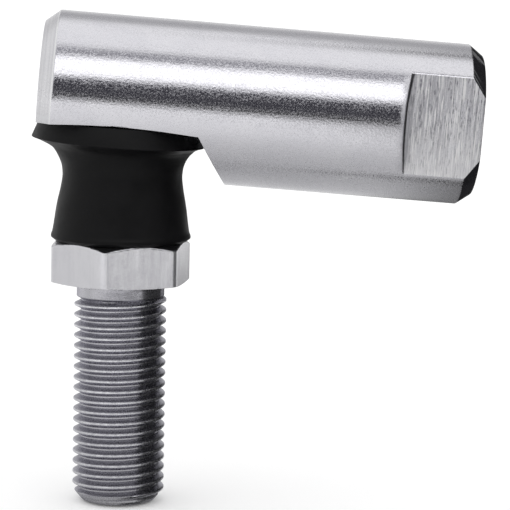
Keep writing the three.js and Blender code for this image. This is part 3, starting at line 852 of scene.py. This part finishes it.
def bar_section(s, r, share):
    """One ring of the bar, and the column counts from bar_columns()."""
    depth = -UNDER if s <= SHOULDER_S else -UNDER + (s - SHOULDER_S) / SHOULDER_K
    if s >= FLAT_BREAK_S:
        low = math.asin(min(1.0, WRENCH_HALF / r))
    elif depth < r * math.cos(LEAST_BREAK):
        low = math.acos(depth / r)
    else:
        t = ease((s - SHOULDER_END) / (FLAT_BREAK_S - SHOULDER_END))
        low = LEAST_BREAK + (math.asin(WRENCH_HALF / BAR_R) - LEAST_BREAK) * t
    high = math.pi - math.asin(min(1.0, WRENCH_HALF / min(r, BAR_R)))
    ang, *counts = bar_columns(low, high)
    down, aside = np.cos(ang), np.abs(np.sin(ang))
    under = np.where(down > 0.02, depth / np.maximum(down, 0.02), 1e3)
    radius = soft_min([np.full_like(ang, r), np.minimum(under, 60.0)], 0.04)
    if share < 1.0:
        bevel = 0.09 * min(1.0, max(0.0, (s - (LONG_END - 0.14)) / 0.14))
        side = np.where(aside > 0.02, (WRENCH_HALF - bevel) / np.maximum(aside, 0.02), 1e3)
        flat = soft_min([radius, np.minimum(side, 60.0)], 0.055)
        radius = flat + (radius - flat) * share
    ring = np.stack([np.full_like(ang, s), radius * np.sin(ang), -radius * np.cos(ang)], -1)
    return ring, counts


def bend_wall(ring, s, share):
    """Bows and leans the wall at the wrench flats' inner end, fading out along the bar."""
    z = ring[:, 2]
    across = np.clip(1 - (z / FLAT_HALF_HEIGHT) ** 2, 0, 1)
    depth = np.clip(np.sqrt(np.clip(BAR_R ** 2 - z ** 2, 0, None)) - WRENCH_HALF, 0, None)
    fade = (s - 30.0) / (WRENCH_S - 0.1 - 30.0) if s < WRENCH_S else (36.0 - s) / 2.8
    ring[:, 0] -= (WALL_BOW * across + WALL_DRAFT * depth * share) * ease(fade)


def scaled_rings(ring, scales):
    out = []
    for scale in scales:
        smaller = ring.copy()
        smaller[:, 1:] *= scale
        out.append(smaller)
    return out


def housing_slot(s, on_wall, below, beside):
    """The slot of a face at s; below is the underside's columns, beside those of the wrench flat."""
    # STEP: the wall at the flats' inner end, painted dark as painted shade.
    if beside and on_wall:
        return STEP
    # DARK: the flats' end bevel, painted near black as a painted reflection of the dark card.
    if beside and s > WRENCH_S:
        return DARK if s > LONG_END - 0.135 else MILLED
    if below and s < SHOULDER_END:
        return UNDERSIDE
    if s < -8.05:
        return TURNED
    # DARK: the +X end's chamfer, painted near black as a painted reflection of the dark card.
    return DARK if s > LONG_END - 1.62 else BAR


def make_bar():
    """The bar with its underside and wrench flats, not yet bored."""
    stations = bar_stations()
    rings = []
    for s, r, share in stations:
        ring, (half, low_break, high_break) = bar_section(s, r, share)
        bend_wall(ring, s, share)
        rings.append(ring)
    left = scaled_rings(rings[0], END_SCALES[0])[::-1]
    right = scaled_rings(rings[-1], END_SCALES[1])
    rows = np.array(left + rings + right)
    n_rows, cols = rows.shape[:2]
    places = [SHORT_END] * len(left) + [st[0] for st in stations] + [LONG_END] * len(right)
    shares = [1.0] * len(left) + [st[2] for st in stations] + [0.0] * len(right)
    faces = grid_faces(n_rows, cols)
    slots = []
    for i in range(n_rows - 1):
        s = (places[i] + places[i + 1]) / 2
        on_wall = 0.03 < (shares[i] + shares[i + 1]) / 2 < 0.93
        on_end = i < len(left) or i >= n_rows - len(right) - 1
        for j in range(cols):
            column = j if j < half - 1 else cols - 1 - j  # the other half mirrors the first
            slots.append(FACE if on_end else housing_slot(
                s, on_wall, column < low_break, low_break <= column < high_break))
    centre = n_rows * cols
    verts = np.concatenate([rows.reshape(-1, 3), [[SHORT_END, 0, 0], [LONG_END, 0, 0]]])
    faces += fan_faces(centre, 0, cols, flip=True)
    faces += fan_faces(centre + 1, centre - cols, cols)
    slots += [FACE] * (2 * cols)
    return mesh_from("housing_blank", verts, faces, slots, merge=1e-5)


TAP_COLS = 96
TAP_MINOR, TAP_MAJOR, TAP_SINK_R = 4.92, 5.58, 5.85
TAP_DEPTH, DRILL_DEPTH, TAP_PROUD = 18.5, 22.5, 0.6  # thread, drilled tail, and the cutter's stand-out
DRILL_PROFILE = [(TAP_MINOR, -DRILL_DEPTH + 0.1), (TAP_MINOR - 0.1, -DRILL_DEPTH - 0.03),
                 (2.4, -DRILL_DEPTH - 1.55)]


def tap_radius(z, ang):
    """Thread that fades out at the bottom, with a countersunk mouth at z 0."""
    full = thread_radius(z, ang, TAP_MINOR, TAP_MAJOR, crest_z=-0.4, crest_flat=0.16, root_flat=0.30,
                         soft=0.02)
    plain = np.clip((-z - (TAP_DEPTH - 1.5)) / 1.5, 0, 1)
    r = full * (1 - plain) + TAP_MINOR * plain
    return -soft_min([-r, -(TAP_SINK_R + z)], 0.02)


def make_tap():
    """The tapped hole as a solid, laid into the bar's +X end."""
    cols = TAP_COLS
    body = screw_rows(-TAP_DEPTH - 0.3, TAP_PROUD, cols, tap_radius)
    verts = body.reshape(-1, 3)
    faces = screw_faces(len(body), cols)
    ang = np.arange(cols) * 2 * math.pi / cols
    previous = (len(body) - 1) * cols
    for r, z in DRILL_PROFILE:
        base = len(verts)
        verts = np.concatenate([verts, np.stack([r * np.cos(ang), r * np.sin(ang), np.full(cols, z)], -1)])
        faces += band_faces(previous, base, cols)
        previous = base
    tip = len(verts)
    verts = np.concatenate([verts, [[0, 0, -DRILL_DEPTH - 2.95], [0, 0, TAP_PROUD]]])
    faces += fan_faces(tip, previous, cols)
    faces += fan_faces(tip + 1, 0, cols, flip=True)
    verts = np.stack([verts[:, 2] + LONG_END, verts[:, 1], -verts[:, 0]], -1)
    return mesh_from("tap", verts, faces, merge=2e-4)


SOCKET_R, GROOVE_R = 7.5, 7.95
SOCKET_CUT = rounded(
    [(0, 7.3), (3.3, 7.3), (5.1, 5.95), (6.65, 4.0), (SOCKET_R, 1.1), (SOCKET_R, -2.42), (GROOVE_R, -2.42),
     (GROOVE_R, -3.08), (SOCKET_R, -3.08), (SOCKET_R, -3.25), (GROOVE_R, -3.7), (0, -3.7)],
    [0, 0.4, 0.8, 1.2, 1.0, 0, 0, 0, 0, 0, 0, 0])
# a shallow dish in the flat underside, over the boot's rim
DISH_CUT = [(8.10, -4.6), (8.10, -3.47), (8.55, -3.05), (9.0, -3.07), (10.2, -3.20), (11.3, -3.34),
            (12.9, -3.52), (12.9, -4.6)]
# a ring over the boot's rim, cut on into the shoulder
RELIEF_CUT = [(8.16, -7.5), (8.16, -3.40), (8.56, -3.066), (9.0, -3.086), (10.2, -3.216), (10.95, -3.312),
              (10.95, -7.5)]


def shoulder_wedge():
    """The shoulder's side of the slope, as a block that keeps the dish off it."""
    top, bottom, far = -2.0, -11.0, 24
    section = ((shoulder_at(top) - 0.03, top), (shoulder_at(bottom) - 0.03, bottom), (far, bottom), (far, top))
    return mesh_from("wedge", [(s, y, z) for y in (-12, 12) for s, z in section],
                     [(0, 1, 2, 3), (7, 6, 5, 4), (0, 4, 5, 1), (1, 5, 6, 2), (2, 6, 7, 3), (3, 7, 4, 0)])


def make_housing():
    bar = make_bar()
    socket = lathe("socket_cut", SOCKET_CUT, cols=144, loop=False, merge=2e-4)
    dish = lathe("dish_cut", DISH_CUT, cols=144)
    wedge = shoulder_wedge()
    relief = lathe("relief_cut", RELIEF_CUT, cols=140, from_deg=0.7)
    tap = make_tap()
    for material in (BAR_MAT, MILLED_MAT, TURNED_MAT, DARK_MAT, FACE_MAT, UNDER_MAT, STEP_MAT):
        bar.materials.append(material)
    socket.materials.append(BORE_MAT)
    for cutter in (dish, wedge, relief):
        cutter.materials.append(UNDER_MAT)
    tap.materials.append(TAPPED_MAT)
    return cut(bar, socket, cut(dish, wedge), relief, tap)


housing = add_piece("socket_housing_turned", make_housing(), housing_frame)
register(housing, "housing", "socket_housing")

# ------------------------------------------------------------------ dust boot
BOOT_Z, BOOT_TILT, BOOT_SHIFT = np.array([  # z, tilt in degrees, shift along x
    (-18.0, 0.0, -0.04), (-16.0, 0.0, -0.06), (-12.5, 0.0, -0.03),
    (-10.0, 0.0, 0.03), (-8.8, 0.05, 0.06), (-7.6, 0.5, 0.07),
    (-6.35, 1.9, 0.03), (-5.35, 3.3, -0.56), (-3.0, 3.3, -0.45)]).T
BOOT_FLARE = smooth_curve(
    [(9.66, -5.62), (9.14, -5.86), (8.66, -6.12), (8.23, -6.48), (7.86, -6.95), (7.50, -7.60), (7.26, -8.22),
     (7.16, -8.82), (7.12, -9.42), (7.16, -10.02), (7.35, -11.22), (7.60, -12.43), (7.80, -13.63),
     (7.96, -14.83), (8.15, -16.03), (8.31, -16.5)], 4)
BOOT_RIM = rounded([(8.18, -3.53), (8.62, -3.18), (9.40, -3.26), (10.25, -5.44), BOOT_FLARE[0]],
                   [0, 0.08, 0.10, 0.06, 0])
BOOT_FOOT = rounded(
    [BOOT_FLARE[-1], (8.33, -16.78), (7.88, HEX_HIGH + 0.03), (6.22, HEX_HIGH + 0.03), (6.22, -16.3),
     (6.98, -16.3), (6.98, -15.1), (6.22, -15.1), (6.3, -14.6)], [0, 0.12, 0.10, 0.08, 0.06, 0.05, 0.05, 0.1, 0])
BOOT_INSIDE = smooth_curve([(6.3, -14.6), (6.75, -13.7), (6.5, -12.4), (6.2, -11.2), (6.0, -9.6), (6.15, -8.4),
                            (6.55, -7.3), (6.7, -6.6)], 4)
BOOT_HEAD = rounded(
    [(6.7, -6.6), (6.7, -5.45), (7.56, -5.45), (7.56, -4.3), (6.7, -4.3), (6.7, -3.13), (7.3, -3.13),
     (7.3, -3.53), (8.18, -3.53)], [0, 0.1, 0.05, 0.05, 0.1, 0.12, 0.12, 0.05, 0])


def boot_frame(v):
    """Stud coordinates to the boot at rest: its rim leans with the housing, its waist stands on the stud, and the
    flare between them takes up the difference."""
    x, y, z = np.asarray(v, float).T
    tilt = np.radians(np.interp(z, BOOT_Z, BOOT_TILT))
    shift = np.interp(z, BOOT_Z, BOOT_SHIFT)
    outer = np.stack([x * np.cos(tilt) + shift, y, z - x * np.sin(tilt)], 1)
    lean = DROOP * ease((z + 8.2) / 2.6)  # inside, the head is square to the housing that it clips into
    inner = np.stack([x * np.cos(lean) + z * np.sin(lean), y, z * np.cos(lean) - x * np.sin(lean)], 1)
    r = np.hypot(x, y)
    outside = np.clip((r - 7.9) / 0.9, 0, 1) + np.clip((-z - 7.2) / 2.0, 0, 1) \
        + np.where(r > 6.9, np.clip((-z - 5.55) / 0.1, 0, 1), 0)
    outside = np.clip(outside, 0, 1)[:, None]
    return inner * (1 - outside) + outer * outside


boot_profile = BOOT_RIM[:-1] + BOOT_FLARE + BOOT_FOOT[1:] + BOOT_INSIDE[1:] + BOOT_HEAD[1:-1]
boot = add_piece("dust_boot_moulded", lathe("boot_fine", boot_profile, cols=160), boot_frame, sharp_deg=40,
                 materials=[RUBBER_MAT])
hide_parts("dust_boot")
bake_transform(boot)

# ------------------------------------------------------------------ seats, spring and rings
RING_GAP = 26.0  # degrees


def turned_piece(name, points, radii, replaced, body, slot, material, place=housing_frame, **turning):
    me = lathe(name, rounded(points, radii, loop=True), **turning)
    register(add_piece(name, me, place, materials=[material]), body, replaced)


def arc(radius, z0, z1, steps):
    """Profile points along a sphere from height z0 to z1."""
    a, b = math.asin(z0 / radius), math.asin(z1 / radius)
    angles = [a + (b - a) * i / steps for i in range(steps + 1)]
    return [(radius * math.cos(t), radius * math.sin(t)) for t in angles]


def band(inner, outer, bottom, top):
    return [(inner, top), (inner, bottom), (outer, bottom), (outer, top)]


turned_piece(
    "upper_ball_seat_ground",
    arc(SEAT_R, 0.06, 6.13, 18) + [(1.98, 6.82), (3.15, 6.82), (4.95, 5.82), (6.5, 3.9), (7.42, 1.05),
                                   (7.42, 0.06)],
    [0.04] + [0] * 17 + [0.08, 0.08, 0.12, 0.5, 0.8, 0.4, 0.12],
    "upper_ball_seat", "seats", "seat_steel", SEAT_MAT)
turned_piece(
    "lower_ball_seat_ground", arc(SEAT_R, -0.06, -2.38, 9) + [(7.42, -2.38), (7.42, -0.06)],
    [0.04] + [0] * 8 + [0.05, 0.12, 0.12], "lower_ball_seat", "seats", "seat_steel", SEAT_MAT)
turned_piece(
    "preload_spring_washer", [(1.35, 7.24), (1.35, 7.04), (3.0, 6.86), (3.0, 7.06)], 0.05,
    "preload_spring", "seats", "spring_steel", SPRING_MAT, cols=96)
turned_piece(
    "boot_upper_ring_band", band(inner=6.75, outer=7.5, bottom=-5.4, top=-4.35), 0.10,
    "boot_upper_ring", "seats", "ring_steel", RING_MAT)
turned_piece(
    "boot_lower_ring_band", band(inner=6.32, outer=6.92, bottom=-16.2, top=-15.2), 0.10,
    "boot_lower_ring", "boot", "ring_steel", RING_MAT, place=None)
turned_piece(
    "retaining_ring_split", band(inner=6.35, outer=7.85, bottom=-3.0, top=-2.5), 0.08,
    "retaining_ring", "housing", "ring_steel", RING_MAT,
    cols=140, from_deg=RING_GAP / 2, sweep_deg=360 - RING_GAP)

# ------------------------------------------------------------------ floor, light, camera
CARD = (56.0, 63.0, 130.0, 144.0)  # dark card on the right: azimuths from the front, degrees, soft at both ends
CARD_DEPTH = 0.93  # how much of the light it takes
FLOOR_HALF, FLOOR_DROP = 6.0, 0.0002  # metres
FLOOR_NEAR, FLOOR_FAR = 0.51, 0.86
FLOOR_REACH = 0.4  # metres over which FLOOR_STOPS run
FLOOR_STOPS = [(0.0, FLOOR_NEAR), (0.08, FLOOR_NEAR * 1.12), (0.20, FLOOR_FAR * 0.9), (0.5, FLOOR_FAR),
               (1.0, FLOOR_FAR)]
SKY = [  # (degrees up from the front horizon and over to the back one, brightness)
    (0, 0.05), (20, 0.05), (23.0, 0.22), (26.0, 1.25), (32, 1.6), (51, 1.6), (54.2, 1.1), (58.2, 0.33),
    (66.5, 0.33), (71, 0.85), (76, 1.02), (115, 1.02), (122, 0.95), (128, 0.74), (132.5, 0.54), (138, 0.46),
    (148, 0.46), (156, 0.62), (166, 0.78), (180, 0.80)]


def reflected_floor(mat):
    """The floor's brightness in the metal, by place in metres and by the direction of the reflected ray."""
    graph = Graph(mat.tree)
    x, y, _ = mat.separate(mat.geometry("Position"))
    away = graph.math("ABSOLUTE", graph.add(y, -0.004))
    seen = graph.grey_ramp(graph.math("DIVIDE", away, FLOOR_REACH, clamp=True), FLOOR_STOPS)
    # darker in a strip on the right, a little darker behind
    dim = graph.math("MAXIMUM", graph.step(x, span=(0.032, 0.056), to=(1.06, 0.45)),
                     graph.step(x, span=(0.065, 0.11), to=(0.45, 1.0)))
    dim = graph.mul(dim, graph.step(y, span=(0.02, 0.08), to=(1.0, 0.88)))
    # darker again under the far end of the bar
    depth = graph.mul(graph.step(y, span=(-0.018, -0.002)),
                      graph.step(x, span=(0.065, 0.11), to=(1.0, 0.0)))
    shade = graph.mul(graph.step(x, span=(0.030, 0.046)), depth)
    dim = graph.mul(dim, graph.sub(1.0, graph.mul(shade, 0.56)))
    leftward = graph.mul(graph.step(x, span=(0.0, -0.10), to=(1.0, 1.05)), dim)
    # Incoming points back along the ray
    ray_x, ray_y, _ = mat.separate(mat.geometry("Incoming"))
    open_side = graph.card(graph.mul(ray_x, -1.0), graph.mul(ray_y, -1.0))
    # the floor ends in the dark at the front, sooner below the stud's right side
    wider = graph.mul(graph.step(x, span=(-0.001, 0.006), to=(0.0, 0.07)),
                      graph.step(x, span=(0.021, 0.031), to=(1.0, 0.0)))
    ends = graph.step(graph.sub(y, wider), span=(-0.43, -0.36), to=(0.09, 1.0))
    value = graph.mul(graph.mul(graph.mul(seen, leftward), open_side), ends)
    return mat.combine(value, value, value)


def plain_floor():
    """A plain pale floor. In the metal's reflections it falls off towards the object and behind the dark card."""
    me = bpy.data.meshes.new("floor")
    z = CAD_BOX[0][2] - FLOOR_DROP
    s = FLOOR_HALF
    me.from_pydata([(-s, -s, z), (s, -s, z), (s, s, z), (-s, s, z)], [], [(0, 1, 2, 3)])
    ob = to_object("floor", me)
    mat = Material("pale_floor")
    grey = reflected_floor(mat)
    mat.shade("Base Color", mat.mix(mat.light_path("Is Glossy Ray"), under=(0.955, 0.955, 0.955), over=grey))
    mat.shade("Roughness", 1.0)
    mat.shade("Specular IOR Level", 0.0)
    mat.shade("Emission Color", (1, 1, 1, 1))
    own_glow = 0.09  # seen by the camera only
    mat.shade("Emission Strength", mat.mul(mat.light_path("Is Camera Ray"), own_glow))
    me.materials.append(mat.material)


def studio():
    """A soft studio as the metal sees it: a long bright bank in front and above with a darker gap beyond it, a pale
    ceiling, a dark strip above the horizon, a pale left side and a dark card on the right. Matt surfaces get an even
    pale light."""
    world = bpy.data.worlds.new("studio")
    bpy.context.scene.world = world
    world.use_nodes = True
    world.node_tree.nodes.clear()
    graph = Graph(world.node_tree)
    out = graph.node("ShaderNodeOutputWorld")
    x, y, z = graph.separate(graph.node("ShaderNodeTexCoord").outputs["Generated"])
    # 0 is the horizon in front, pi/2 overhead, pi the horizon behind
    angle = graph.math("ARCTAN2", z, graph.mul(y, -1.0))
    # the dark strip over the horizon is a little wider just right of the middle
    wider = graph.mul(graph.step(x, span=(0.022, 0.042), to=(0.0, math.radians(3.0))),
                      graph.step(x, span=(0.064, 0.084), to=(1.0, 0.0)))
    low_down = graph.step(angle, span=(math.radians(28), math.radians(45)), to=(1.0, 0.0))
    angle = graph.sub(angle, graph.mul(wider, low_down))
    bands = graph.grey_ramp(graph.math("DIVIDE", angle, math.pi, clamp=True),
                            [(degrees / 180.0, value) for degrees, value in SKY])
    left = graph.step(x, span=(-0.35, -0.75))
    room = graph.mix(left, bands, over=(0.74, 0.74, 0.74))
    ceiling = graph.step(z, span=(0.85, 0.97))  # the card stops below the ceiling
    card = graph.math("MAXIMUM", graph.card(x, y, longer=24.0), ceiling)
    glossy = graph.node("ShaderNodeBackground")
    graph.put(glossy.inputs[0], room)
    graph.put(glossy.inputs[1], card)
    even = graph.node("ShaderNodeBackground")
    even.inputs["Color"].default_value = (1.0, 1.0, 1.0, 1)
    even.inputs["Strength"].default_value = 1.08
    shader = graph.node("ShaderNodeMixShader")
    graph.put(shader.inputs[0], graph.node("ShaderNodeLightPath").outputs["Is Glossy Ray"])
    graph.link(even.outputs[0], shader.inputs[1])
    graph.link(glossy.outputs[0], shader.inputs[2])
    graph.link(shader.outputs[0], out.inputs[0])


CAMERA_AT = np.array([4.02925, -284.59119, 17.94254])  # millimetres from the ball's centre
CAMERA_AXES = (  # right, up, back
    Vector((0.99901405, -0.03939281, 0.02047294)),
    Vector((-0.01525176, 0.12855022, 0.99158571)),
    Vector((-0.04169315, -0.9909203, 0.12782266)))
CAMERA_LENS, CAMERA_SENSOR = 169.41176471, 36.0  # millimetres


def camera():
    cam = bpy.data.cameras.new("camera")
    cam.lens, cam.sensor_width, cam.sensor_fit = CAMERA_LENS, CAMERA_SENSOR, "HORIZONTAL"
    cam.clip_start, cam.clip_end = 0.01, 50.0
    ob = to_object("camera", cam)
    turn = Matrix(CAMERA_AXES).transposed().to_4x4()
    ob.matrix_world = Matrix.Translation(Vector((CAMERA_AT + CENTRE) / 1000.0)) @ turn
    bpy.context.scene.camera = ob


plain_floor()
studio()
camera()
bpy.context.scene.view_settings.view_transform = "Standard"
bpy.context.scene.view_settings.look = "None"
